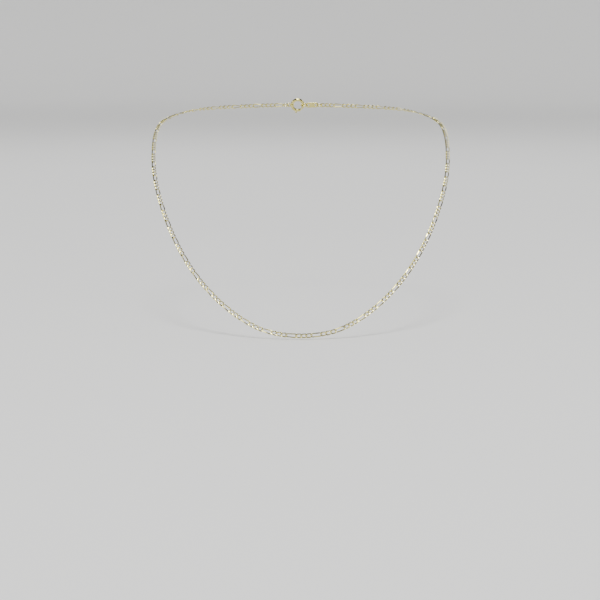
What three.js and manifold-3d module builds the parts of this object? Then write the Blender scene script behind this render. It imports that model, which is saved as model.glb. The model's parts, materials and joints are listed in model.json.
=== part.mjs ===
// A Figaro chain necklace, laid in the loop it takes around a neck.
// Millimetres, +Z up, the front towards -Y. The origin is on the neck's centre line, level with the nape.
import * as THREE from 'three';
import { mergeGeometries, mergeVertices } from 'three/addons/utils/BufferGeometryUtils.js';
import Module from 'manifold-3d';

const wasm = await Module();
wasm.setup();

// The chain: each repeat is one long link and a few short ones, soldered into one rigid length.
const REPEATS_EACH_SIDE = 23; // repeats on each side of the front one
const SHORT_LINKS = 3; // short links that follow each long one
const SHORT_PITCH = 1.85; // from one short link to the next
const LONG_PITCH = 2.75; // from a long link to the short one beside it
const CHAIN_WIDTH = 1.9;
const LINK_BOW = 0.34; // width of the wire seen on the flat face
const LINK_THICKNESS = 0.3;
const LINK_PLAY = 0.16; // gap between the bows of two links that hang together
const LINK_LIFT = 0.25; // how far the crossing bows are bent out of the flat
const LIFT_REACH = 1.2; // how far from a repeat's end the bending starts, in overlaps of two links
const FRONT_OFFSET = 1.1; // the front repeat's middle short link sits this far to the right of the middle

// The clasp: a spring ring with a sliding bolt, and the rings and the plain tag that join it to the chain.
const RING_PLAY = 0.12; // gap between a ring and the bow that it hangs on
const JUMP_RING_WIDTH = 2.8;
const JUMP_RING_WIRE = 0.45;
const END_RING_WIDTH = 3.4;
const END_RING_WIRE = 0.5;
const TAG_LENGTH = 5.4;
const TAG_WIDTH = 2.2;
const TAG_THICKNESS = 0.35;
const TAG_BOW = 0.5; // metal between a hole and the tag's end
const TAG_HOLE = 1.1;
const CLASP_WIDTH = 6.0;
const CLASP_TUBE = 1.2;
const CLASP_BORE = 0.84;
const BOLT_WIRE = 0.62;
const KNOB_WIDTH = 0.8;
const KNOB_HEIGHT = 0.5;
const KNOB_NECK = 0.36;
const COLLAR_WALL = 0.22;
const COLLAR_GAP = 0.05;
const COLLAR_SPAN = 20; // degrees of the clasp's ring
const EYE_HOLE = 1.0;
const EYE_BOW = 0.36;
const EYE_THICKNESS = 0.5;
const SPRING_WIRE = 0.12;
const SPRING_TURNS = 7;
const SPRING_GAP = 0.06; // from the spring to the bore around it

// How finely the round shapes are divided.
const RING_SIDES = 8;
const RING_STEPS = 20;
const ROD_SIDES = 8;
const ARC_STEP = 12; // degrees of the clasp's ring
const EYE_STEPS = 16;
const EYE_HOLE_STEPS = 12;
const KNOB_SIDES = 12;
const CORE_SIDES = 48;
const SLOT_STEPS = 4;
const SPRING_STEPS = 8; // in one turn
const LOOP_DIVISIONS = 4000;

// Places on the clasp's ring, in degrees from the end that pulls on the chain.
const MOUTH = [26, 64];
const BOLT_GRIP = 8; // how far the closed bolt's tip reaches past the mouth
const BOLT_TAIL = 108;
const BORE_END = 168;
const SOCKET_SPARE = 4; // spare depth past the bolt's tip
const KNOB_ANGLE = 102;
const SLOT_SPARE = 10; // from the knob's middle to each end of its slot
const BOLT_TRAVEL = 46;
const SPRING_SPARE = 2; // from each end of the spring to what it pushes on
const CUT_PAST = 3; // how far a cutting shape runs past the end that it cuts

// The right half of the loop from the front to the nape:
// across, back and up, then the lean of the skin under the chain, 0 facing forward and 90 facing up.
const HALF_LOOP = [
  [0, -100, -76, 28],
  [14.2, -97.8, -74.1, 28],
  [28.3, -90.8, -66.4, 28],
  [39.8, -81.4, -55.6, 28],
  [48.1, -69.8, -43.8, 30],
  [53.9, -56.7, -32.3, 33],
  [57.7, -42, -22, 37],
  [59.4, -26.2, -13, 42],
  [59.3, -8, -4.8, 52],
  [56, 9.5, -0.7, 78],
  [45.5, 23, 2.2, 120],
  [25, 31.5, 3.5, 150],
  [0, 34, 4, 160],
];
// The chain is rolled a little about its own length just right of the front.
const ROLL = 30;
const ROLL_PLACE = 9;
const ROLL_SPREAD = 8;

const LINK_OVERLAP = 2 * LINK_BOW + LINK_PLAY;
const SHORT_LENGTH = SHORT_PITCH + LINK_OVERLAP;
const LONG_LENGTH = 2 * (LONG_PITCH + LINK_OVERLAP) - SHORT_LENGTH;
const REPEAT_LENGTH = 2 * LONG_PITCH + (SHORT_LINKS - 1) * SHORT_PITCH;
const REPEATS = 2 * REPEATS_EACH_SIDE + 1;
const CHAIN_LENGTH = REPEATS * REPEAT_LENGTH;
const CLASP_RADIUS = (CLASP_WIDTH - CLASP_TUBE) / 2;
const JUMP_RING_HOLE = JUMP_RING_WIDTH / 2 - JUMP_RING_WIRE;
const END_RING_HOLE = END_RING_WIDTH / 2 - END_RING_WIRE;
const EYE_CENTRE = CLASP_WIDTH / 2 + COLLAR_GAP + COLLAR_WALL + EYE_HOLE / 2;

// How far past the outer end of one bow the next bow starts, when a ring holds both.
const ringStep = (ringHole, bowBefore, bowAfter) => 2 * (ringHole - RING_PLAY) - bowBefore - bowAfter;
const ringCentre = (bowEnd, bow, ringHole) => bowEnd - bow - RING_PLAY + ringHole;

// Places along the loop after the last repeat's pivot, in the order that the pieces hang together.
const lastBowEnd = LINK_OVERLAP / 2;
const tagRingPlace = ringCentre(lastBowEnd, LINK_BOW, JUMP_RING_HOLE);
const tagStart = lastBowEnd + ringStep(JUMP_RING_HOLE, LINK_BOW, TAG_BOW);
const tagEnd = tagStart + TAG_LENGTH;
const endRingPlace = ringCentre(tagEnd, TAG_BOW, END_RING_HOLE);
const claspStart = tagEnd + ringStep(END_RING_HOLE, TAG_BOW, CLASP_TUBE);
const claspPlace = claspStart + CLASP_WIDTH / 2;
const eyeEnd = claspPlace + EYE_CENTRE + EYE_HOLE / 2 + EYE_BOW;
const claspRingPlace = ringCentre(eyeEnd, EYE_BOW, JUMP_RING_HOLE);
const firstBowStart = eyeEnd + ringStep(JUMP_RING_HOLE, EYE_BOW, LINK_BOW);
const claspLength = firstBowStart + LINK_OVERLAP / 2;
const LOOP_LENGTH = CHAIN_LENGTH + claspLength;

const degrees = THREE.MathUtils.degToRad;

// The loop, scaled so that its length is the necklace's.
function wornLoop() {
  const left = HALF_LOOP.slice(1, -1).reverse().map(([across, back, up, lean]) => [-across, back, up, lean]);
  const stations = [...HALF_LOOP, ...left];
  const shape = new THREE.CatmullRomCurve3(stations.map(([x, y, z]) => new THREE.Vector3(x, y, z)), true);
  shape.arcLengthDivisions = LOOP_DIVISIONS;
  const scale = LOOP_LENGTH / shape.getLength();
  const facings = stations.map(([, , , lean]) => {
    return new THREE.Vector3(0, -Math.cos(degrees(lean)), Math.sin(degrees(lean)));
  });
  return { shape, scale, facing: new THREE.CatmullRomCurve3(facings, true) };
}
const loop = wornLoop();

// The frame at a distance along the loop from the front: X along the chain, Y across its face, Z out of it.
// The distance grows from the front to the wearer's left side, the right side of a front view.
function frameAt(distance) {
  const turn = THREE.MathUtils.euclideanModulo(distance / LOOP_LENGTH, 1);
  const place = loop.shape.getPointAt(turn).multiplyScalar(loop.scale);
  const along = loop.shape.getTangentAt(turn);
  const out = loop.facing.getPoint(loop.shape.getUtoTmapping(turn));
  out.addScaledVector(along, -out.dot(along)).normalize();
  out.applyAxisAngle(along, degrees(ROLL) * Math.exp(-(((distance - ROLL_PLACE) / ROLL_SPREAD) ** 2)));
  const across = new THREE.Vector3().crossVectors(out, along);
  return new THREE.Matrix4().makeBasis(along, across, out).setPosition(place);
}

const SHADES = {
  gold: { color: 0xe6d9a2, roughness: 0.22, metalness: 1.0 },
  steel: { color: 0xc9c9c6, roughness: 0.3, metalness: 1.0 },
};

const necklace = new THREE.Group();
necklace.name = 'chain_necklace';

function addPiece(name, geometry, frame, shade = 'gold') {
  const mesh = new THREE.Mesh(geometry, new THREE.MeshStandardMaterial(SHADES[shade]));
  mesh.name = name;
  mesh.applyMatrix4(frame);
  necklace.add(mesh);
}

function bare(geometry) {
  geometry.deleteAttribute('normal');
  geometry.deleteAttribute('uv');
  return mergeVertices(geometry, 1e-5);
}

// An eight-sided round of the given extents, as points from the right end anticlockwise.
function roundedPoints(start, end, halfWidth) {
  const flat = Math.tan(Math.PI / 8);
  const cut = halfWidth * (1 - flat);
  const corner = Math.min(cut, (end - start) / 2 - halfWidth * flat / 2);
  const side = halfWidth * flat;
  const right = [[end, -side], [end, side], [end - corner, halfWidth]];
  const left = [[start + corner, halfWidth], [start, side], [start, -side]];
  return [...right, ...left, [start + corner, -halfWidth], [end - corner, -halfWidth]];
}

// The places of the links in one repeat, from the pivot where the long link hangs on the repeat before.
function repeatLinks() {
  const links = [{ start: -LINK_OVERLAP / 2, length: LONG_LENGTH }];
  for (let i = 0; i < SHORT_LINKS; i += 1) {
    const before = links.at(-1);
    links.push({ start: before.start + before.length - LINK_OVERLAP, length: SHORT_LENGTH });
  }
  return links.map(({ start, length }) => ({ start, end: start + length }));
}

// One link's stretch of a flat repeat, with its hole. Where links are soldered the stretch ends square,
// halfway along their overlap, and at the repeat's own ends it is the whole round bow.
function linkStretch({ start, end }, first, last) {
  const half = CHAIN_WIDTH / 2;
  const corner = half * (1 - Math.tan(Math.PI / 8));
  const seam = LINK_OVERLAP / 2;
  const notch = Math.sqrt(half ** 2 - (half - seam) ** 2);
  const left = first ? [start, half - corner] : [start + seam, notch];
  const right = last ? [end, half - corner] : [end - seam, notch];
  const upper = [left, [start + corner, half], [end - corner, half], right];
  const lower = upper.map(([x, y]) => [x, -y]).reverse();
  const toPoint = ([x, y]) => new THREE.Vector2(x, y);
  const outline = new THREE.Shape([...upper, ...lower].reverse().map(toPoint));
  const holeStart = start + (first ? LINK_BOW : LINK_OVERLAP);
  const holeEnd = end - (last ? LINK_BOW : LINK_OVERLAP);
  outline.holes = [new THREE.Path(roundedPoints(holeStart, holeEnd, half - LINK_BOW).map(toPoint))];
  return new THREE.ExtrudeGeometry(outline, { depth: LINK_THICKNESS, bevelEnabled: false });
}

// Joins the stretches into one body by leaving out the walls where they meet.
function joinAtSeams(stretches, seams) {
  const joined = mergeGeometries(stretches);
  const spots = joined.getAttribute('position');
  const kept = [];
  for (let i = 0; i < spots.count; i += 3) {
    const corners = [i, i + 1, i + 2];
    const isSeam = seams.some((x) => corners.every((corner) => Math.abs(spots.getX(corner) - x) < 1e-5));
    if (!isSeam) kept.push(...corners);
  }
  joined.setIndex(kept);
  return bare(joined);
}

// One repeat, flat, with the bows at both ends bent up and down so that they cross the next repeat's bows
// with room to move.
function flatRepeat() {
  const links = repeatLinks();
  const first = links[0];
  const last = links.at(-1);
  const stretches = links.map((link) => linkStretch(link, link === first, link === last));
  const plate = joinAtSeams(stretches, links.slice(1).map(({ start }) => start + LINK_OVERLAP / 2));
  plate.translate(0, 0, -LINK_THICKNESS / 2);
  const reach = LIFT_REACH * LINK_OVERLAP;
  const spots = plate.getAttribute('position');
  for (let i = 0; i < spots.count; i += 1) {
    const x = spots.getX(i);
    const bend = (x > last.end - reach ? 1 : 0) - (x < first.start + reach ? 1 : 0);
    spots.setZ(i, spots.getZ(i) + LINK_LIFT * bend * Math.sign(spots.getY(i)));
  }
  return plate;
}

// Bends a flat length of chain onto the loop and gives it back in the frame of its own start.
function laidOnLoop(flat, distance) {
  const geometry = flat.clone();
  const spots = geometry.getAttribute('position');
  const back = frameAt(distance).invert();
  const spot = new THREE.Vector3();
  for (let i = 0; i < spots.count; i += 1) {
    const frame = frameAt(distance + spots.getX(i));
    spot.set(0, spots.getY(i), spots.getZ(i)).applyMatrix4(frame).applyMatrix4(back);
    spots.setXYZ(i, spot.x, spot.y, spot.z);
  }
  return geometry;
}

// From a repeat's own start to the middle of its short links.
const shortsMiddle = (LONG_LENGTH - LINK_OVERLAP) / 2 + LONG_PITCH + SHORT_PITCH * (SHORT_LINKS - 1) / 2;
// Distance from the front to the pivot where the first repeat starts.
const chainStart = FRONT_OFFSET - shortsMiddle - REPEATS_EACH_SIDE * REPEAT_LENGTH;
const chainEnd = chainStart + CHAIN_LENGTH;

const flat = flatRepeat();
for (let i = 0; i < REPEATS; i += 1) {
  const start = chainStart + i * REPEAT_LENGTH;
  const name = `chain_repeat_${String(i + 1).padStart(2, '0')}`;
  addPiece(name, laidOnLoop(flat, start), frameAt(start));
}

function toSolid(geometry) {
  const merged = bare(geometry);
  return new wasm.Manifold(new wasm.Mesh({
    numProp: 3,
    vertProperties: new Float32Array(merged.getAttribute('position').array),
    triVerts: new Uint32Array(merged.getIndex().array),
  }));
}

function toGeometry(solid) {
  const { vertProperties, triVerts } = solid.getMesh();
  const geometry = new THREE.BufferGeometry();
  geometry.setAttribute('position', new THREE.BufferAttribute(new Float32Array(vertProperties), 3));
  geometry.setIndex(new THREE.BufferAttribute(new Uint32Array(triVerts), 1));
  return geometry;
}

// A closed ring of wire that stands on edge in the chain: its plane holds the chain's length and the way out.
function wireRing(width, wire) {
  const radius = (width - wire) / 2;
  return bare(new THREE.TorusGeometry(radius, wire / 2, RING_SIDES, RING_STEPS)).rotateX(Math.PI / 2);
}

// An arc about the clasp's middle, in its flat plane. Angle 0 is the end that pulls on the chain.
class ClaspArc extends THREE.Curve {
  constructor(from, to, radius = CLASP_RADIUS) {
    super();
    Object.assign(this, { from, to, radius });
  }

  getPoint(t) {
    const angle = Math.PI + degrees(this.from + (this.to - this.from) * t);
    return new THREE.Vector3(this.radius * Math.cos(angle), this.radius * Math.sin(angle), 0);
  }
}

// A round rod of the given width along an arc of the clasp's ring.
function arcRod(from, to, width) {
  const section = new THREE.Shape();
  for (let i = 0; i < ROD_SIDES; i += 1) {
    const angle = 2 * Math.PI * (i + 0.5) / ROD_SIDES;
    section[i ? 'lineTo' : 'moveTo'](width / 2 * Math.cos(angle), width / 2 * Math.sin(angle));
  }
  const steps = Math.max(2, Math.round((to - from) / ARC_STEP));
  const extrudePath = new ClaspArc(from, to);
  return new THREE.ExtrudeGeometry(section, { steps, extrudePath, bevelEnabled: false });
}

// A block that points out of the ring at an angle, from one radius to another.
function spoke(angle, from, to, width, height) {
  const block = new THREE.BoxGeometry(to - from, width, height);
  return block.translate((from + to) / 2, 0, 0).rotateZ(Math.PI + degrees(angle));
}

// The case: a tube with a mouth, a bore for the bolt and its spring, a socket for the bolt's tip, and the
// slot that the knob slides in.
function claspCase() {
  const tube = toSolid(arcRod(MOUTH[1], 360 + MOUTH[0], CLASP_TUBE));
  const bore = toSolid(arcRod(MOUTH[1] - CUT_PAST, BORE_END, CLASP_BORE));
  const socketEnd = 360 + MOUTH[0] - BOLT_GRIP - SOCKET_SPARE;
  const socket = toSolid(arcRod(socketEnd, 360 + MOUTH[0] + CUT_PAST, CLASP_BORE));
  const slotFrom = KNOB_ANGLE - SLOT_SPARE;
  const slotTo = KNOB_ANGLE + BOLT_TRAVEL + SLOT_SPARE;
  const slotHeight = KNOB_NECK + 2 * RING_PLAY;
  const wedge = new THREE.Shape();
  wedge.moveTo(0, 0);
  const reach = CLASP_WIDTH;
  for (let i = 0; i <= SLOT_STEPS; i += 1) {
    const angle = Math.PI + degrees(slotFrom + (slotTo - slotFrom) * i / SLOT_STEPS);
    wedge.lineTo(reach * Math.cos(angle), reach * Math.sin(angle));
  }
  const slice = new THREE.ExtrudeGeometry(wedge, { depth: slotHeight, bevelEnabled: false });
  const core = new THREE.CylinderGeometry(CLASP_RADIUS, CLASP_RADIUS, 2 * slotHeight, CORE_SIDES);
  core.rotateX(Math.PI / 2);
  const slot = toSolid(slice.translate(0, 0, -slotHeight / 2)).subtract(toSolid(core));
  return toGeometry(tube.subtract(bore).subtract(socket).subtract(slot));
}

// The bolt: a rod that closes the mouth, with the knob that pulls it back standing out of the slot.
function claspBolt() {
  const rod = toSolid(arcRod(MOUTH[0] - BOLT_GRIP, BOLT_TAIL, BOLT_WIRE));
  const neckTop = CLASP_WIDTH / 2 + RING_PLAY;
  const neck = toSolid(spoke(KNOB_ANGLE, CLASP_RADIUS, neckTop + KNOB_HEIGHT / 2, KNOB_NECK, KNOB_NECK));
  const head = new THREE.CylinderGeometry(KNOB_WIDTH / 2, KNOB_WIDTH / 2, KNOB_HEIGHT, KNOB_SIDES);
  head.rotateZ(Math.PI / 2).translate(neckTop + KNOB_HEIGHT / 2, 0, 0).rotateZ(Math.PI + degrees(KNOB_ANGLE));
  return toGeometry(rod.add(neck).add(toSolid(head)));
}

// The coil that pushes the bolt shut, wound about the arc of the bore.
class SpringCoil extends THREE.Curve {
  getPoint(t) {
    const arc = new ClaspArc(BOLT_TAIL + SPRING_SPARE, BORE_END - SPRING_SPARE);
    const middle = arc.getPoint(t);
    const outward = middle.clone().normalize();
    const turn = 2 * Math.PI * SPRING_TURNS * t;
    const coil = (CLASP_BORE - SPRING_WIRE) / 2 - SPRING_GAP;
    middle.addScaledVector(outward, coil * Math.cos(turn));
    middle.z += coil * Math.sin(turn);
    return middle;
  }
}

function claspSpring() {
  const half = SPRING_WIRE / 2;
  const section = new THREE.Shape([[-half, -half], [half, -half], [half, half], [-half, half]]
    .map(([x, y]) => new THREE.Vector2(x, y)));
  const settings = { steps: SPRING_STEPS * SPRING_TURNS, extrudePath: new SpringCoil(), bevelEnabled: false };
  return bare(new THREE.ExtrudeGeometry(section, settings));
}

// The collar clamped around the clasp's tube, with the eye that the jump ring passes through.
function claspEye() {
  const tube = CLASP_TUBE + 2 * COLLAR_GAP;
  const from = 180 - COLLAR_SPAN / 2;
  const to = 180 + COLLAR_SPAN / 2;
  const collar = toSolid(arcRod(from, to, tube + 2 * COLLAR_WALL));
  const clear = toSolid(arcRod(from - CUT_PAST, to + CUT_PAST, tube));
  const outer = EYE_HOLE / 2 + EYE_BOW;
  const round = (radius, steps) => new THREE.Path().absarc(0, 0, radius, 0, 2 * Math.PI).getPoints(steps);
  const ring = new THREE.Shape(round(outer, EYE_STEPS).slice(0, -1));
  ring.holes = [new THREE.Path(round(EYE_HOLE / 2, EYE_HOLE_STEPS))];
  const plate = new THREE.ExtrudeGeometry(ring, { depth: EYE_THICKNESS, bevelEnabled: false });
  plate.translate(EYE_CENTRE, 0, -EYE_THICKNESS / 2);
  return toGeometry(collar.add(toSolid(plate)).subtract(clear));
}

// The plain tag: an oblong plate with a hole near each end.
function endTag() {
  const half = TAG_LENGTH / 2;
  const hole = TAG_HOLE / 2;
  const toPoint = ([x, y]) => new THREE.Vector2(x, y);
  const outline = new THREE.Shape(roundedPoints(-half, half, TAG_WIDTH / 2).map(toPoint));
  outline.holes = [-1, 1].map((side) => {
    const middle = side * (half - TAG_BOW - hole);
    return new THREE.Path(roundedPoints(middle - hole, middle + hole, hole).map(toPoint));
  });
  const plate = new THREE.ExtrudeGeometry(outline, { depth: TAG_THICKNESS, bevelEnabled: false });
  return bare(plate.translate(0, 0, -TAG_THICKNESS / 2));
}

const claspFrame = frameAt(chainEnd + claspPlace);
addPiece('tag_ring', wireRing(JUMP_RING_WIDTH, JUMP_RING_WIRE), frameAt(chainEnd + tagRingPlace));
addPiece('end_tag', endTag(), frameAt(chainEnd + (tagStart + tagEnd) / 2));
addPiece('end_ring', wireRing(END_RING_WIDTH, END_RING_WIRE), frameAt(chainEnd + endRingPlace));
addPiece('clasp_case', claspCase(), claspFrame);
addPiece('clasp_bolt', claspBolt(), claspFrame);
addPiece('clasp_spring', claspSpring(), claspFrame, 'steel');
addPiece('clasp_eye', claspEye(), claspFrame);
addPiece('clasp_ring', wireRing(JUMP_RING_WIDTH, JUMP_RING_WIRE), frameAt(chainEnd + claspRingPlace));

export default necklace;
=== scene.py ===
"""A Figaro chain necklace: links, rings, tag and spring-ring clasp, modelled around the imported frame."""

import json
import math
import random

import bpy
import numpy as np
from bpy.props import FloatProperty, FloatVectorProperty, PointerProperty
from bpy.types import Operator, Panel, PropertyGroup
from mathutils import Matrix, Vector


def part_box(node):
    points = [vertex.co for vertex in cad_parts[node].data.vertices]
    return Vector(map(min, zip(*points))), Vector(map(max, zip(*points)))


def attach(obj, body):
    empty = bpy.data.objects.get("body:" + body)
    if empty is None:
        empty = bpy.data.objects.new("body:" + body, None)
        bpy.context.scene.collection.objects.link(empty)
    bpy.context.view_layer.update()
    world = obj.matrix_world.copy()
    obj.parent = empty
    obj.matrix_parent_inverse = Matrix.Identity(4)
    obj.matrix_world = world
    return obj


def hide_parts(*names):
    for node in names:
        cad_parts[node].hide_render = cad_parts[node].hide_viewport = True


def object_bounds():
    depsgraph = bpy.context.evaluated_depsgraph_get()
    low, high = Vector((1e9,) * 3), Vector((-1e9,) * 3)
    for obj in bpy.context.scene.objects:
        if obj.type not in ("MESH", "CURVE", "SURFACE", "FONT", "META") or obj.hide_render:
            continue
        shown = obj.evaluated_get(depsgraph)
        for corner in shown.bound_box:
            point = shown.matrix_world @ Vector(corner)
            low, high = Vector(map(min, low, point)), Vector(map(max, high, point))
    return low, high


bl_info = {
    "name": "Figaro Chain Necklace",
    "version": (1, 0, 0),
    "blender": (4, 5, 0),
    "location": "3D View > Sidebar > Necklace",
    "description": "Models a fine Figaro chain with a spring-ring clasp around its packed frame",
    "category": "Add Mesh",
}

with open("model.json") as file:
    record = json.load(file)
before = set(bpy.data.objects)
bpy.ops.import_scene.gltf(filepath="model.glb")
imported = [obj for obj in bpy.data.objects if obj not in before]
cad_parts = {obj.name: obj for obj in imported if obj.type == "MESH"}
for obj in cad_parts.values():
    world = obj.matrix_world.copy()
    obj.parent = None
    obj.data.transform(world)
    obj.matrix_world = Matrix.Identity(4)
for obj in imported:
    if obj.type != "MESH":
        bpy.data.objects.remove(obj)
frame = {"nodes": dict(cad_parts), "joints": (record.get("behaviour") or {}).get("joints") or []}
CAD_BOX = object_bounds()

MM = 0.001
CLOSE = 1e-7  # two places nearer than this are the same place
MERGE = 0.002 * MM  # corners nearer than this are merged

REPEATS = 47
FRONT_REPEAT = 24
SHORT_LINKS = 3  # short links that follow each long one
LAY_SEED = 7

# Faces along and around the wires
LINK_STEPS = 12
LINK_SIDES = 6
RING_STEPS = 56
RING_SIDES = 16
EYE_STEPS = 40
EYE_SIDES = 14
CASE_SIDES = 24
BOLT_SIDES = 20
COLLAR_SIDES = 28
NECK_SIDES = 16
KNOB_SIDES = 24
TAG_STEPS = 48
TAG_HOLE_STEPS = 32

SOLDER_NECK = 0.9  # a ring's wire at its soldered joint, as a share of its full size

TAG_HOLE = 1.1 * MM
TAG_BOW = 0.5 * MM  # metal between a hole and the tag's end

# Angles on the clasp, in degrees from the side that hooks the end ring
CASE_FROM, CASE_TO = 64, 386
SLOT_FROM, SLOT_SPAN = 93, 64
BOLT_TIP, BOLT_TAIL = 18, 108
KNOB_ANGLE = 102
COLLAR_FROM, COLLAR_TO = 170, 190
ARC_STEP = 6

# The clasp's slot and knob, from the middle of its tube outwards
SLOT_LIFT = 0.6 * MM
SLOT_DEPTH = 1.2 * MM
SLOT_WIDTH = 0.6 * MM
SLOT_STEPS = 12
NECK_RADIUS = 0.18 * MM
NECK_LENGTH = 1.1 * MM
NECK_LIFT = 0.55 * MM
KNOB_RADIUS = 0.4 * MM
KNOB_HEIGHT = 0.5 * MM
KNOB_LIFT = 0.97 * MM

# The clasp's collar and eye
COLLAR_GAP = 0.1 * MM  # across the tube, both sides together
COLLAR_WALLS = 0.44 * MM  # both walls together
EYE_HOLE = 1.0 * MM
EYE_BOW = 0.36 * MM
EYE_SWELL = 1.25

# The stage
FLOOR_GAP = 0.5 * MM  # from the floor to the lowest link
FLOOR_RADIUS = 2.2
FLOOR_STEPS = 96
COVE = 0.6
COVE_STEPS = 10
LIGHTS_AIM = (0, -0.03, -0.03)
EVEN_STRENGTH = 2.7
EVEN_ANGLE = math.radians(16)
EVEN_LEAN = math.radians(20)
SKY_COLOR = (0.56, 0.56, 0.55, 1)
SKY_STRENGTH = 0.07


# ---------------------------------------------------------------------------
# What a user would change
# ---------------------------------------------------------------------------

class ChainSettings(PropertyGroup):
    """The sizes of the chain's links."""

    long_length: FloatProperty(
        name="Long Link", description="Outer length of a long link",
        default=4.49 * MM, unit="LENGTH", precision=5)
    short_length: FloatProperty(
        name="Short Link", description="Outer length of a short link",
        default=2.69 * MM, unit="LENGTH", precision=5)
    overlap: FloatProperty(
        name="Overlap", description="Length that two neighbouring links share",
        default=0.84 * MM, unit="LENGTH", precision=5)
    width: FloatProperty(
        name="Width", description="Outer width of every link",
        default=1.9 * MM, unit="LENGTH", precision=5)
    rail: FloatProperty(
        name="Rail", description="Width of the pressed wire along a link's sides",
        default=0.50 * MM, unit="LENGTH", precision=5)
    bow: FloatProperty(
        name="Bow", description="Width of the wire around a link's ends",
        default=0.32 * MM, unit="LENGTH", precision=5)
    thickness: FloatProperty(
        name="Thickness", description="Thickness of the pressed wire",
        default=0.26 * MM, unit="LENGTH", precision=5)
    lift: FloatProperty(
        name="Crossing Twist",
        description="Turn of a link about its length where it crosses the next one",
        default=math.radians(31), subtype="ANGLE")
    planed_height: FloatProperty(
        name="Planed Thickness", description="Thickness of the chain between its two diamond-cut faces",
        default=0.66 * MM, unit="LENGTH", precision=5)
    loose_turn: FloatProperty(
        name="Loose Turn", description="The most that a link leans away from its neighbours",
        default=math.radians(2.5), subtype="ANGLE")


class ClaspSettings(PropertyGroup):
    """The sizes of the clasp, the rings and the tag."""

    width: FloatProperty(
        name="Clasp Width", description="Outer width of the round clasp",
        default=6.0 * MM, unit="LENGTH", precision=5)
    tube: FloatProperty(
        name="Clasp Tube", description="Outer diameter of the clasp's tube",
        default=1.2 * MM, unit="LENGTH", precision=5)
    bore: FloatProperty(
        name="Clasp Bore", description="Inner diameter of the clasp's tube",
        default=0.84 * MM, unit="LENGTH", precision=5)
    bolt: FloatProperty(
        name="Bolt", description="Diameter of the bolt that closes the clasp",
        default=0.62 * MM, unit="LENGTH", precision=5)
    jump_ring: FloatProperty(
        name="Jump Ring", description="Outer width of a jump ring",
        default=2.8 * MM, unit="LENGTH", precision=5)
    jump_wire: FloatProperty(
        name="Jump Ring Wire", description="Diameter of a jump ring's wire",
        default=0.45 * MM, unit="LENGTH", precision=5)
    end_ring: FloatProperty(
        name="End Ring", description="Outer width of the ring that the clasp hooks",
        default=3.4 * MM, unit="LENGTH", precision=5)
    end_wire: FloatProperty(
        name="End Ring Wire", description="Diameter of the end ring's wire",
        default=0.5 * MM, unit="LENGTH", precision=5)
    tag_length: FloatProperty(
        name="Tag Length", description="Length of the plain end tag",
        default=5.4 * MM, unit="LENGTH", precision=5)
    tag_width: FloatProperty(
        name="Tag Width", description="Width of the plain end tag",
        default=2.2 * MM, unit="LENGTH", precision=5)
    tag_thickness: FloatProperty(
        name="Tag Thickness", description="Thickness of the plain end tag",
        default=0.35 * MM, unit="LENGTH", precision=5)


class MetalSettings(PropertyGroup):
    """The colours of the metals."""

    gold: FloatVectorProperty(
        name="Gold", description="Colour of the polished gold",
        default=(0.76, 0.685, 0.25), subtype="COLOR", min=0, max=1)
    deep_gold: FloatVectorProperty(
        name="Deep Gold", description="Colour of the gold where it is less polished",
        default=(0.44, 0.385, 0.09), subtype="COLOR", min=0, max=1)
    steel: FloatVectorProperty(
        name="Spring Steel", description="Colour of the clasp's spring",
        default=(0.62, 0.62, 0.60), subtype="COLOR", min=0, max=1)
    polish: FloatProperty(
        name="Roughness", description="Roughness of the diamond-cut faces",
        default=0.10, min=0, max=1, subtype="FACTOR")


class StageSettings(PropertyGroup):
    """The floor, the lights and the camera."""

    floor: FloatVectorProperty(
        name="Floor", description="Colour of the floor",
        default=(0.80, 0.80, 0.79), subtype="COLOR", min=0, max=1)
    camera_place: FloatVectorProperty(
        name="Camera Place", description="Where the camera stands",
        default=(-0.0003, -0.7912, 0.0357), subtype="TRANSLATION")
    camera_pitch: FloatProperty(
        name="Camera Pitch", description="How far the camera looks down",
        default=math.radians(8), subtype="ANGLE")
    camera_roll: FloatProperty(
        name="Camera Roll", description="How far the camera leans over",
        default=0.0, subtype="ANGLE")
    lens: FloatProperty(
        name="Lens", description="Focal length of the camera in millimetres",
        default=115.3, min=1)
    key_power: FloatProperty(
        name="Key Light", description="Power of the large soft light above the front",
        default=8, min=0, unit="POWER")


# ---------------------------------------------------------------------------
# Materials
# ---------------------------------------------------------------------------

class Value:
    """A socket in a material, so that a sum on it reads as a sum in Python."""

    def __init__(self, finish, socket):
        self.finish = finish
        self.socket = socket

    def maths(self, operation, *values):
        inputs = dict(enumerate(values))
        return self.finish.add("ShaderNodeMath", {"operation": operation}, inputs)

    def __add__(self, other):
        return self.maths("ADD", self, other)

    def __radd__(self, other):
        return self.maths("ADD", other, self)

    def __sub__(self, other):
        return self.maths("SUBTRACT", self, other)

    def __rsub__(self, other):
        return self.maths("SUBTRACT", other, self)

    def __mul__(self, other):
        return self.maths("MULTIPLY", self, other)

    def __rmul__(self, other):
        return self.maths("MULTIPLY", other, self)

    def clamped(self):
        return self.maths("MINIMUM", self.maths("MAXIMUM", self, 0.0), 1.0)


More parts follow.
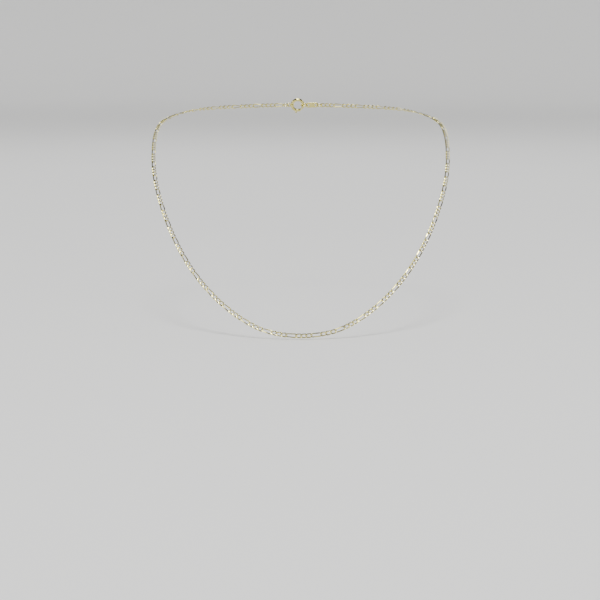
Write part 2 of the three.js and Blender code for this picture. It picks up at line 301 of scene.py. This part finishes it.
class Finish:
    """A material in the making. Its nodes all come from one method."""

    def __init__(self, name):
        self.material = bpy.data.materials.new(name)
        self.material.use_nodes = True
        self.tree = self.material.node_tree
        self.shader = self.tree.nodes["Principled BSDF"]

    def add(self, kind, settings=None, inputs=None, output=0):
        """Adds a node, sets it up, feeds its sockets, and gives back one of its outputs."""
        node = self.tree.nodes.new(kind)
        for key, value in (settings or {}).items():
            setattr(node, key, value)
        for key, value in (inputs or {}).items():
            self.feed(node.inputs[key], value)
        return Value(self, node.outputs[output])

    def feed(self, socket, value):
        if isinstance(value, Value):
            self.tree.links.new(value.socket, socket)
        else:
            socket.default_value = value

    def place(self, scale, turn):
        """Places on the object itself, stretched and turned."""
        spots = self.add("ShaderNodeTexCoord", output="Object")
        inputs = {"Vector": spots, "Scale": scale, "Rotation": turn}
        return self.add("ShaderNodeMapping", {"vector_type": "POINT"}, inputs)

    def noise(self, scale, detail=3.0, roughness=0.55, place=None):
        spots = place or self.add("ShaderNodeTexCoord", output="Object")
        inputs = {"Vector": spots, "Scale": scale, "Detail": detail, "Roughness": roughness}
        return self.add("ShaderNodeTexNoise", {}, inputs)

    def blend(self, factor, first, second):
        """A mix of two colours."""
        settings = {"data_type": "RGBA"}
        return self.add("ShaderNodeMix", settings, {0: factor, 6: first, 7: second}, output=2)

    def bump(self, height, strength, distance, normal=None):
        inputs = {"Strength": strength, "Distance": distance, "Height": height}
        if normal:
            inputs["Normal"] = normal
        return self.add("ShaderNodeBump", {}, inputs)

    def finish(self, **values):
        for key, value in values.items():
            self.feed(self.shader.inputs[key.replace("_", " ")], value)
        return self.material


def opaque(color):
    return (*color, 1.0)


def scratches(finish, scale, turn):
    """Fine straight polishing lines: high where there is one."""
    place = finish.place((scale, scale / 40, scale), (0.0, 0.3, turn))
    lines = finish.noise(1.0, detail=2.0, place=place)
    return ((lines - 0.56) * 9.0).clamped()


def cut_gold(metal):
    """The diamond-cut faces: near-mirror gold with hairlines left by handling."""
    finish = Finish("gold_diamond_cut")
    cloud = finish.noise(420.0, detail=4.0)
    haze = finish.noise(5200.0, detail=3.0)
    hairlines = scratches(finish, 26000.0, 0.6) + scratches(finish, 21000.0, -0.8)
    tint = ((cloud - 0.35) * 1.1 + (haze - 0.5) * 0.15).clamped()
    color = finish.blend(tint, opaque(metal.gold), opaque(tuple(c * 0.93 for c in metal.gold)))
    roughness = metal.polish + (haze - 0.4) * 0.05 + hairlines * 0.05
    ripple = finish.bump(haze, 0.05, 0.003 * MM)
    normal = finish.bump(hairlines, 0.12, 0.002 * MM, ripple)
    return finish.finish(Base_Color=color, Metallic=1.0, Roughness=roughness, Normal=normal)


def wire_gold(metal):
    """The round of the wire: gold as tumbling leaves it, duller and deeper than the cut faces."""
    finish = Finish("gold_tumbled_wire")
    cloud = finish.noise(520.0, detail=4.0)
    grain = finish.noise(9000.0, detail=4.0, roughness=0.65)
    drawn = scratches(finish, 18000.0, 1.1)
    tint = ((cloud - 0.3) * 1.2 + (grain - 0.5) * 0.15).clamped()
    color = finish.blend(tint, opaque(metal.gold), opaque(metal.deep_gold))
    roughness = 0.17 + (grain - 0.35) * 0.10 + drawn * 0.05
    pits = finish.bump(grain, 0.10, 0.004 * MM)
    normal = finish.bump(drawn, 0.10, 0.002 * MM, pits)
    return finish.finish(Base_Color=color, Metallic=1.0, Roughness=roughness, Normal=normal)


def buffed_gold(metal):
    """The clasp, the rings and the tag: buffed gold with wear lines and a faint orange peel."""
    finish = Finish("gold_buffed")
    cloud = finish.noise(380.0, detail=5.0)
    peel = finish.noise(3200.0, detail=2.0)
    lines = scratches(finish, 15000.0, 0.4) + scratches(finish, 12000.0, -1.2)
    tint = ((cloud - 0.32) * 1.1 + (peel - 0.5) * 0.15).clamped()
    color = finish.blend(tint, opaque(metal.gold), opaque(metal.deep_gold))
    roughness = 0.14 + (cloud - 0.35) * 0.12 + lines * 0.06
    waves = finish.bump(peel, 0.08, 0.004 * MM)
    normal = finish.bump(lines, 0.12, 0.003 * MM, waves)
    return finish.finish(Base_Color=color, Metallic=1.0, Roughness=roughness, Normal=normal)


def spring_steel(metal):
    """The spring: bright drawn wire."""
    finish = Finish("spring_steel_wire")
    grain = finish.noise(14000.0, detail=3.0)
    stain = finish.noise(1500.0, detail=4.0)
    dull = ((stain - 0.45) * 2.2).clamped()
    color = finish.blend(dull, opaque(metal.steel), (0.42, 0.40, 0.37, 1.0))
    roughness = 0.26 + grain * 0.14 + dull * 0.10
    normal = finish.bump(grain, 0.2, 0.004 * MM)
    return finish.finish(Base_Color=color, Metallic=1.0, Roughness=roughness, Normal=normal)


def floor_paint(stage):
    """The floor: matt pale board with a barely visible tooth."""
    finish = Finish("pale_floor")
    tooth = finish.noise(900.0, detail=3.0)
    cloud = finish.noise(6.0, detail=2.0)
    shade = tuple(c * 0.97 for c in stage.floor)
    color = finish.blend(cloud, opaque(stage.floor), opaque(shade))
    roughness = 0.78 + tooth * 0.1
    normal = finish.bump(tooth, 0.06, 0.05 * MM)
    return finish.finish(Base_Color=color, Roughness=roughness, Normal=normal)


def metal_named(name, maker):
    """One copy of each finish, made when it is first asked for."""
    return bpy.data.materials.get(name) or maker(bpy.context.scene.necklace_metal)


# ---------------------------------------------------------------------------
# Modelling
# ---------------------------------------------------------------------------

def deselect_all():
    if bpy.context.mode != "OBJECT":
        bpy.ops.object.mode_set(mode="OBJECT")
    bpy.ops.object.select_all(action="DESELECT")


def take_up(piece):
    """Makes a piece the only selected one, in object mode."""
    deselect_all()
    piece.select_set(True)
    bpy.context.view_layer.objects.active = piece


def pick(piece, test):
    """Leaves the piece in edit mode with the corners that pass the test selected."""
    take_up(piece)
    bpy.ops.object.mode_set(mode="EDIT")
    bpy.ops.mesh.select_mode(type="VERT")
    bpy.ops.mesh.select_all(action="DESELECT")
    bpy.ops.object.mode_set(mode="OBJECT")
    for vertex in piece.data.vertices:
        vertex.select = test(vertex)
    bpy.ops.object.mode_set(mode="EDIT")


def pick_all(piece):
    take_up(piece)
    bpy.ops.object.mode_set(mode="EDIT")
    bpy.ops.mesh.select_all(action="SELECT")


def clean(piece):
    """Merges doubles and turns the faces outwards."""
    pick_all(piece)
    bpy.ops.mesh.remove_doubles(threshold=MERGE)
    bpy.ops.mesh.normals_make_consistent(inside=False)
    bpy.ops.object.mode_set(mode="OBJECT")


def modify(piece, kind, **settings):
    """Adds a modifier, sets it up and applies it."""
    take_up(piece)
    bpy.ops.object.modifier_add(type=kind)
    modifier = piece.modifiers[-1]
    for key, value in settings.items():
        setattr(modifier, key, value)
    bpy.ops.object.modifier_apply(modifier=modifier.name)


def round_edges(piece, width, segments, angle=50):
    modify(piece, "BEVEL", width=width, segments=segments,
           limit_method="ANGLE", angle_limit=math.radians(angle))


def smooth(piece, angle=35):
    take_up(piece)
    bpy.ops.object.shade_smooth_by_angle(angle=math.radians(angle))


def name_new(name):
    """The primitive that was just added, under its own name, with its place in its mesh."""
    piece = bpy.context.active_object
    piece.name = name
    piece.data.name = name
    piece.data.transform(piece.matrix_world)
    piece.matrix_world = Matrix.Identity(4)
    return piece


def cut_away(piece, cutter):
    """Takes the cutter's shape out of the piece and throws the cutter away."""
    modify(piece, "BOOLEAN", operation="DIFFERENCE", solver="EXACT", object=cutter)
    bpy.data.objects.remove(cutter)


def join_on(piece, other):
    """Makes two overlapping shapes one closed shape."""
    modify(piece, "BOOLEAN", operation="UNION", solver="EXACT", object=other)
    bpy.data.objects.remove(other)


def wear(piece, *materials):
    piece.data.materials.clear()
    for material in materials:
        piece.data.materials.append(material)


def set_down(piece, place):
    """Puts a piece's mesh where it goes; the object stays at the origin."""
    piece.data.transform(place)
    piece.data.update()


# ---------------------------------------------------------------------------
# Places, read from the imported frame
# ---------------------------------------------------------------------------

def repeat_node(number):
    return f"chain_repeat_{number:02d}"


def node_spots(name):
    mesh = frame["nodes"][name].data
    spots = np.empty(len(mesh.vertices) * 3)
    mesh.vertices.foreach_get("co", spots)
    return spots.reshape(-1, 3)


def joint_to(child):
    for joint in frame["joints"]:
        if joint["child"] == child:
            return joint
    raise RuntimeError(f"the packed model has no joint to {child}")


def from_axes(along, out, place):
    """A place whose X runs along, whose Z points out as far as it can, and whose Y is across."""
    x = along.normalized()
    z = (out - x * out.dot(x)).normalized()
    y = z.cross(x)
    turned = Matrix((x, y, z)).transposed().to_4x4()
    return Matrix.Translation(place) @ turned


def main_axes(name):
    """A node's middle and its longest, middling and shortest directions."""
    spots = node_spots(name)
    corners = (spots.max(0) + spots.min(0)) / 2
    _, _, axes = np.linalg.svd(spots - spots.mean(0), full_matrices=False)
    return Vector(corners), [Vector(axis) for axis in axes]


def chain_pivots():
    """Where each repeat hangs on the one before, from the clasp's ring to the tag's ring."""
    ends = [number if number < FRONT_REPEAT else number + 1 for number in range(1, REPEATS)]
    middle = [Vector(joint_to(repeat_node(number))["pos_m"]) for number in ends]
    step = np.median([(b - a).length for a, b in zip(middle, middle[1:])])
    first = Vector(joint_to("clasp_ring")["pos_m"])
    last = Vector(joint_to("tag_ring")["pos_m"])
    first = middle[0] + (first - middle[0]).normalized() * step
    last = middle[-1] + (last - middle[-1]).normalized() * step
    return [first, *middle, last]


def face_normals():
    """The way the flat face of each repeat looks, out of the neck."""
    normals = []
    for number in range(1, REPEATS + 1):
        middle, axes = main_axes(repeat_node(number))
        outward = Vector((middle.x, middle.y + 0.01, 0)).normalized() + Vector((0, 0, 1))
        flat = axes[2]
        normals.append(flat if flat.dot(outward) > 0 else -flat)
    return normals


def smooth_between(points, index, share):
    """A place on the smooth line through points, a share of the way from one to the next."""
    before = points[index - 1] if index > 0 else 2 * points[0] - points[1]
    after = points[index + 2] if index + 2 < len(points) else 2 * points[-1] - points[-2]
    here = points[index]
    there = points[index + 1]
    bend = (before * -0.5 + here * 1.5 - there * 1.5 + after * 0.5) * share ** 3
    curve = (before - here * 2.5 + there * 2 - after * 0.5) * share ** 2
    slope = (there - before) * 0.5 * share
    return bend + curve + slope + here


def clasp_place():
    """The clasp's own place: X towards its eye, Z out of the neck."""
    joint = joint_to("clasp_bolt")
    middle = Vector(joint["pos_m"])
    eye = Vector((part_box("clasp_eye")[0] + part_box("clasp_eye")[1]) / 2)
    out = Vector(joint["axis"])
    if out.z < 0:
        out = -out
    return from_axes(eye - middle, out, middle)


# ---------------------------------------------------------------------------
# The chain
# ---------------------------------------------------------------------------

def link_master(name, length, chain):
    """A curb link along X: a ring of wire pulled long, pressed, twisted, and planed on both faces."""
    radius = (chain.width - chain.rail) / 2
    pull = (length - chain.width) / 2
    slim = chain.rail - chain.bow
    deselect_all()
    bpy.ops.mesh.primitive_torus_add(
        major_segments=LINK_STEPS, minor_segments=LINK_SIDES,
        major_radius=radius, minor_radius=chain.rail / 2)
    link = name_new(name)
    pick_all(link)
    bpy.ops.transform.rotate(value=math.pi / LINK_STEPS, orient_axis="Z", center_override=(0, 0, 0))
    bpy.ops.transform.resize(value=(1, 1, chain.thickness / chain.rail), center_override=(0, 0, 0))
    for side in (1, -1):
        pick(link, lambda vertex: vertex.co.x * side > radius / 2 and vertex.co.xy.length < radius)
        bpy.ops.transform.translate(value=(side * slim, 0, 0))
        pick(link, lambda vertex: vertex.co.x * side > 0)
        bpy.ops.transform.translate(value=(side * pull, 0, 0))
    bpy.ops.object.mode_set(mode="OBJECT")
    crossing = (length - chain.overlap) / 2
    turn = chain.lift * length / crossing
    modify(link, "SIMPLE_DEFORM", deform_method="TWIST", deform_axis="X", angle=turn)
    half = chain.planed_height / 2
    for side in (1, -1):
        pick_all(link)
        bpy.ops.mesh.bisect(
            plane_co=(0, 0, side * half), plane_no=(0, 0, side),
            use_fill=True, clear_outer=True, threshold=CLOSE)
    clean(link)
    smooth(link)
    wear(link, metal_named("gold_tumbled_wire", wire_gold),
         metal_named("gold_diamond_cut", cut_gold))
    for face in link.data.polygons:
        is_cut = abs(face.normal.z) > 0.999 and abs(abs(face.center.z) - half) < 0.01 * MM
        face.material_index = 1 if is_cut else 0
    return link


def link_spans(chain):
    """The stretches of a repeat between crossings, as (start, end, is long), from its first pivot."""
    spans = [(0.0, chain.long_length - chain.overlap, True)]
    for _ in range(SHORT_LINKS):
        start = spans[-1][1]
        spans.append((start, start + chain.short_length - chain.overlap, False))
    return spans


class NECKLACE_OT_chain(Operator):
    """Model the long and short links once, and lay all the repeats of the chain"""

    bl_idname = "necklace.chain"
    bl_label = "Chain"

    def execute(self, context):
        chain = context.scene.necklace_chain
        masters = {
            True: link_master("long_link", chain.long_length, chain),
            False: link_master("short_link", chain.short_length, chain),
        }
        pivots = chain_pivots()
        normals = face_normals()
        spans = link_spans(chain)
        total = spans[-1][1]
        lay = random.Random(LAY_SEED)
        for index in range(REPEATS):
            links = []
            for start, end, is_long in spans:
                near = smooth_between(pivots, index, start / total)
                far = smooth_between(pivots, index, end / total)
                middle = (start + end) / 2 / total
                out = self.facing(normals, index, middle)
                place = from_axes(far - near, out, (near + far) / 2)
                turn = Matrix.Rotation(lay.uniform(-1, 1) * chain.loose_turn, 4, "X")
                copy = masters[is_long].copy()
                copy.data = masters[is_long].data.copy()
                context.scene.collection.objects.link(copy)
                copy.data.transform(place @ turn)
                links.append(copy)
            deselect_all()
            for link in links:
                link.select_set(True)
            context.view_layer.objects.active = links[0]
            bpy.ops.object.join()
            piece = context.active_object
            piece.name = f"figaro_links_{index + 1:02d}"
            piece.data.name = piece.name
            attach(piece, repeat_node(index + 1))
            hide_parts(repeat_node(index + 1))
        for master in masters.values():
            bpy.data.objects.remove(master)
        return {"FINISHED"}

    @staticmethod
    def facing(normals, index, share):
        """The face's direction a share of the way along a repeat, between its neighbours' middles."""
        other = index + (1 if share > 0.5 else -1)
        other = min(max(other, 0), len(normals) - 1)
        return normals[index].lerp(normals[other], abs(share - 0.5))


# ---------------------------------------------------------------------------
# The rings, the tag and the clasp
# ---------------------------------------------------------------------------

def ring_of_wire(name, width, wire, place):
    """A closed ring of round wire with its soldered joint showing as a faint neck."""
    radius = (width - wire) / 2
    deselect_all()
    bpy.ops.mesh.primitive_torus_add(
        major_segments=RING_STEPS, minor_segments=RING_SIDES,
        major_radius=radius, minor_radius=wire / 2)
    ring = name_new(name)
    seam = Vector((radius, 0, 0))
    pick(ring, lambda vertex: vertex.co.x > 0 and abs(vertex.co.y) < CLOSE)
    bpy.ops.transform.resize(value=(SOLDER_NECK,) * 3, center_override=seam)
    bpy.ops.object.mode_set(mode="OBJECT")
    clean(ring)
    smooth(ring, 60)
    wear(ring, metal_named("gold_buffed", buffed_gold))
    set_down(ring, place)
    return ring


class NECKLACE_OT_rings(Operator):
    """Model the two jump rings and the end ring"""

    bl_idname = "necklace.rings"
    bl_label = "Rings"

    def execute(self, context):
        clasp = context.scene.necklace_clasp
        rings = (
            ("clasp_ring", clasp.jump_ring, clasp.jump_wire),
            ("tag_ring", clasp.jump_ring, clasp.jump_wire),
            ("end_ring", clasp.end_ring, clasp.end_wire),
        )
        for node, width, wire in rings:
            middle, axes = main_axes(node)
            place = from_axes(axes[0], axes[2], middle)
            ring = ring_of_wire(f"{node}_wire", width, wire, place)
            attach(ring, node)
            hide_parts(node)
        return {"FINISHED"}


class NECKLACE_OT_tag(Operator):
    """Model the plain end tag: a rounded plate with a hole near each end"""

    bl_idname = "necklace.tag"
    bl_label = "End Tag"

    def execute(self, context):
        clasp = context.scene.necklace_clasp
        deselect_all()
        bpy.ops.mesh.primitive_cylinder_add(
            vertices=TAG_STEPS, radius=clasp.tag_width / 2, depth=clasp.tag_thickness)
        tag = name_new("end_tag_plate")
        pick_all(tag)
        bpy.ops.transform.rotate(
            value=math.pi / TAG_STEPS, orient_axis="Z", center_override=(0, 0, 0))
        pull = (clasp.tag_length - clasp.tag_width) / 2
        for side in (1, -1):
            pick(tag, lambda vertex: vertex.co.x * side > 0)
            bpy.ops.transform.translate(value=(side * pull, 0, 0))
        for side in (1, -1):
            deselect_all()
            middle = side * (clasp.tag_length / 2 - TAG_BOW - TAG_HOLE / 2)
            bpy.ops.mesh.primitive_cylinder_add(
                vertices=TAG_HOLE_STEPS, radius=TAG_HOLE / 2,
                depth=3 * clasp.tag_thickness, location=(middle, 0, 0))
            cut_away(tag, name_new("tag_hole"))
        clean(tag)
        round_edges(tag, 0.07 * MM, 3)
        smooth(tag, 40)
        wear(tag, metal_named("gold_buffed", buffed_gold))
        middle, axes = main_axes("end_tag")
        set_down(tag, from_axes(axes[0], axes[2], middle))
        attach(tag, "end_tag")
        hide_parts("end_tag")
        return {"FINISHED"}


def tube_radius(clasp):
    """From the clasp's middle to the middle of its tube."""
    return (clasp.width - clasp.tube) / 2


def on_clasp(angle, radius):
    """A spot in the clasp's flat plane; angle 0 is the side that hooks the end ring."""
    turned = math.pi + math.radians(angle)
    return Vector((radius * math.cos(turned), radius * math.sin(turned), 0))


def sweep(steps, degrees):
    """Spins the selected outline around the clasp. With no window, a spin turns the other way."""
    bpy.ops.mesh.spin(
        steps=steps, angle=math.radians(-degrees), center=(0, 0, 0), axis=(0, 0, 1), dupli=False)


def arc_of(name, start, end, radius, width, sides, bore=0.0):
    """A round rod along an arc of the clasp, or a tube where a bore is given."""
    spot = on_clasp(start, radius)
    deselect_all()
    bpy.ops.mesh.primitive_circle_add(
        vertices=sides, radius=width / 2, fill_type="NOTHING" if bore else "NGON",
        location=spot, rotation=(math.pi / 2, 0, math.pi + math.radians(start)))
    rod = name_new(name)
    if bore:
        pick_all(rod)
        bpy.ops.mesh.extrude_region_move()
        share = bore / width
        bpy.ops.transform.resize(value=(share, share, share), center_override=spot)
    pick_all(rod)
    sweep(max(2, round(abs(end - start) / ARC_STEP)), end - start)
    clean(rod)
    return rod


class NECKLACE_OT_clasp_case(Operator):
    """Model the clasp's case: a bent tube with its mouth and the slot for the knob"""

    bl_idname = "necklace.clasp_case"
    bl_label = "Clasp Case"

    def execute(self, context):
        clasp = context.scene.necklace_clasp
        radius = tube_radius(clasp)
        case = arc_of(
            "clasp_case_tube", CASE_FROM, CASE_TO, radius, clasp.tube, CASE_SIDES, clasp.bore)
        spot = on_clasp(SLOT_FROM, radius + SLOT_LIFT)
        deselect_all()
        bpy.ops.mesh.primitive_plane_add(
            size=1, location=spot, rotation=(math.pi / 2, 0, math.pi + math.radians(SLOT_FROM)))
        slot = name_new("slot_cutter")
        pick_all(slot)
        bpy.ops.transform.resize(value=(SLOT_DEPTH, SLOT_DEPTH, SLOT_WIDTH), center_override=spot)
        sweep(SLOT_STEPS, SLOT_SPAN)
        clean(slot)
        cut_away(case, slot)
        clean(case)
        round_edges(case, 0.03 * MM, 2)
        smooth(case, 45)
        wear(case, metal_named("gold_buffed", buffed_gold))
        set_down(case, clasp_place())
        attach(case, "clasp")
        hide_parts("clasp_case")
        return {"FINISHED"}


class NECKLACE_OT_clasp_bolt(Operator):
    """Model the bolt that closes the clasp's mouth, with the knob that pulls it back"""

    bl_idname = "necklace.clasp_bolt"
    bl_label = "Clasp Bolt"

    def execute(self, context):
        clasp = context.scene.necklace_clasp
        radius = tube_radius(clasp)
        bolt = arc_of("clasp_bolt_rod", BOLT_TIP, BOLT_TAIL, radius, clasp.bolt, BOLT_SIDES)
        turn = (0, math.pi / 2, math.pi + math.radians(KNOB_ANGLE))
        deselect_all()
        bpy.ops.mesh.primitive_cylinder_add(
            vertices=NECK_SIDES, radius=NECK_RADIUS, depth=NECK_LENGTH,
            location=on_clasp(KNOB_ANGLE, radius + NECK_LIFT), rotation=turn)
        join_on(bolt, name_new("knob_neck"))
        deselect_all()
        bpy.ops.mesh.primitive_cylinder_add(
            vertices=KNOB_SIDES, radius=KNOB_RADIUS, depth=KNOB_HEIGHT,
            location=on_clasp(KNOB_ANGLE, radius + KNOB_LIFT), rotation=turn)
        knob = name_new("knob_head")
        round_edges(knob, 0.12 * MM, 3)
        join_on(bolt, knob)
        clean(bolt)
        round_edges(bolt, 0.04 * MM, 2, 60)
        smooth(bolt, 45)
        wear(bolt, metal_named("gold_buffed", buffed_gold))
        set_down(bolt, clasp_place())
        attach(bolt, "clasp_bolt")
        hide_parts("clasp_bolt")
        return {"FINISHED"}


class NECKLACE_OT_clasp_eye(Operator):
    """Model the collar around the clasp's tube and the eye that its jump ring passes through"""

    bl_idname = "necklace.clasp_eye"
    bl_label = "Clasp Eye"

    def execute(self, context):
        clasp = context.scene.necklace_clasp
        inner = clasp.tube + COLLAR_GAP
        outer = inner + COLLAR_WALLS
        eye = arc_of("clasp_eye_collar", COLLAR_FROM, COLLAR_TO,
                     tube_radius(clasp), outer, COLLAR_SIDES, inner)
        round_edges(eye, 0.05 * MM, 2)
        middle = clasp.width / 2 + (outer - clasp.tube) / 2 + EYE_HOLE / 2
        deselect_all()
        bpy.ops.mesh.primitive_torus_add(
            major_segments=EYE_STEPS, minor_segments=EYE_SIDES,
            major_radius=(EYE_HOLE + EYE_BOW) / 2, minor_radius=EYE_BOW / 2,
            location=(middle, 0, 0))
        loop = name_new("eye_loop")
        pick_all(loop)
        bpy.ops.transform.resize(value=(1, 1, EYE_SWELL), center_override=(middle, 0, 0))
        bpy.ops.object.mode_set(mode="OBJECT")
        join_on(eye, loop)
        clean(eye)
        smooth(eye, 45)
        wear(eye, metal_named("gold_buffed", buffed_gold))
        set_down(eye, clasp_place())
        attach(eye, "clasp")
        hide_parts("clasp_eye")
        return {"FINISHED"}


class NECKLACE_OT_clasp_spring(Operator):
    """Give the clasp's spring its drawn-wire finish"""

    bl_idname = "necklace.clasp_spring"
    bl_label = "Clasp Spring"

    def execute(self, context):
        spring = frame["nodes"]["clasp_spring"]
        wear(spring, metal_named("spring_steel_wire", spring_steel))
        return {"FINISHED"}


# ---------------------------------------------------------------------------
# The stage
# ---------------------------------------------------------------------------

class NECKLACE_OT_stage(Operator):
    """Set up the camera, the floor and the soft lights"""

    bl_idname = "necklace.stage"
    bl_label = "Stage"

    def execute(self, context):
        stage = context.scene.necklace_stage
        self.add_camera(context, stage)
        self.add_floor(stage)
        self.add_lights(stage)
        self.add_sky(context)
        return {"FINISHED"}

    @staticmethod
    def add_camera(context, stage):
        camera = bpy.data.objects.new("camera", bpy.data.cameras.new("camera"))
        context.scene.collection.objects.link(camera)
        camera.data.lens = stage.lens
        camera.data.clip_start = 0.01
        turn = Matrix.Rotation(math.pi / 2 - stage.camera_pitch, 4, "X")
        lean = Matrix.Rotation(stage.camera_roll, 4, "Z")
        camera.matrix_world = Matrix.Translation(stage.camera_place) @ turn @ lean
        context.scene.camera = camera

    @staticmethod
    def add_floor(stage):
        low = CAD_BOX[0][2] - FLOOR_GAP
        deselect_all()
        bpy.ops.mesh.primitive_circle_add(
            vertices=FLOOR_STEPS, radius=FLOOR_RADIUS, fill_type="NGON", location=(0, 0, low))
        floor = name_new("floor")
        for step in range(1, COVE_STEPS + 1):
            before = math.pi / 2 * (step - 1) / COVE_STEPS
            after = math.pi / 2 * step / COVE_STEPS
            edge = FLOOR_RADIUS + COVE * math.sin(before)
            height = low + COVE * (1 - math.cos(before))
            pick(floor, lambda vertex:
                 abs(vertex.co.z - height) < MM and vertex.co.xy.length > edge - MM)
            bpy.ops.mesh.extrude_edges_move()
            grow = (FLOOR_RADIUS + COVE * math.sin(after)) / edge
            bpy.ops.transform.resize(value=(grow, grow, 1), center_override=(0, 0, 0))
            rise = COVE * (math.cos(before) - math.cos(after))
            bpy.ops.transform.translate(value=(0, 0, rise))
        bpy.ops.object.mode_set(mode="OBJECT")
        smooth(floor, 60)
        wear(floor, floor_paint(stage))

    @staticmethod
    def add_lights(stage):
        middle = Vector(LIGHTS_AIM)
        lights = (
            ("key_light", (0.10, -0.75, 0.85), 0.8, stage.key_power),
            ("left_light", (-1.0, -0.35, 0.45), 0.4, stage.key_power * 0.4),
            ("right_light", (1.05, -0.2, 0.5), 0.4, stage.key_power * 0.35),
            ("back_light", (0.0, 1.0, 0.8), 0.5, stage.key_power * 0.5),
        )
        for name, place, size, power in lights:
            light = bpy.data.lights.new(name, "AREA")
            light.shape = "DISK"
            light.size = size
            light.energy = power
            lamp = bpy.data.objects.new(name, light)
            bpy.context.scene.collection.objects.link(lamp)
            aim = (middle - Vector(place)).to_track_quat("-Z", "Y")
            lamp.matrix_world = Matrix.Translation(place) @ aim.to_matrix().to_4x4()
        even = bpy.data.lights.new("even_light", "SUN")
        even.energy = EVEN_STRENGTH
        even.angle = EVEN_ANGLE
        lamp = bpy.data.objects.new("even_light", even)
        bpy.context.scene.collection.objects.link(lamp)
        lamp.matrix_world = Matrix.Rotation(EVEN_LEAN, 4, "X")

    @staticmethod
    def add_sky(context):
        world = bpy.data.worlds.new("studio")
        context.scene.world = world
        world.use_nodes = True
        sky = world.node_tree.nodes["Background"]
        sky.inputs["Color"].default_value = SKY_COLOR
        sky.inputs["Strength"].default_value = SKY_STRENGTH


class NECKLACE_PT_panel(Panel):
    """The necklace's pieces and settings"""

    bl_idname = "NECKLACE_PT_panel"
    bl_label = "Necklace"
    bl_space_type = "VIEW_3D"
    bl_region_type = "UI"
    bl_category = "Necklace"

    def draw(self, context):
        for operator in PIECES:
            self.layout.operator(operator.bl_idname)
        groups = (
            context.scene.necklace_stage, context.scene.necklace_chain,
            context.scene.necklace_clasp, context.scene.necklace_metal,
        )
        for group in groups:
            box = self.layout.box()
            for name in group.__annotations__:
                box.prop(group, name)


PIECES = (
    NECKLACE_OT_stage, NECKLACE_OT_chain, NECKLACE_OT_rings, NECKLACE_OT_tag,
    NECKLACE_OT_clasp_case, NECKLACE_OT_clasp_bolt, NECKLACE_OT_clasp_eye, NECKLACE_OT_clasp_spring,
)
SETTINGS = (ChainSettings, ClaspSettings, MetalSettings, StageSettings)


def register():
    for group in SETTINGS + PIECES + (NECKLACE_PT_panel,):
        bpy.utils.register_class(group)
    bpy.types.Scene.necklace_chain = PointerProperty(type=ChainSettings)
    bpy.types.Scene.necklace_clasp = PointerProperty(type=ClaspSettings)
    bpy.types.Scene.necklace_metal = PointerProperty(type=MetalSettings)
    bpy.types.Scene.necklace_stage = PointerProperty(type=StageSettings)


def unregister():
    for name in ("necklace_chain", "necklace_clasp", "necklace_metal", "necklace_stage"):
        delattr(bpy.types.Scene, name)
    for group in reversed(SETTINGS + PIECES + (NECKLACE_PT_panel,)):
        bpy.utils.unregister_class(group)


def main():
    register()
    bpy.ops.necklace.stage()
    bpy.ops.necklace.chain()
    bpy.ops.necklace.rings()
    bpy.ops.necklace.tag()
    bpy.ops.necklace.clasp_case()
    bpy.ops.necklace.clasp_bolt()
    bpy.ops.necklace.clasp_eye()
    bpy.ops.necklace.clasp_spring()


if __name__ == "__main__":
    main()
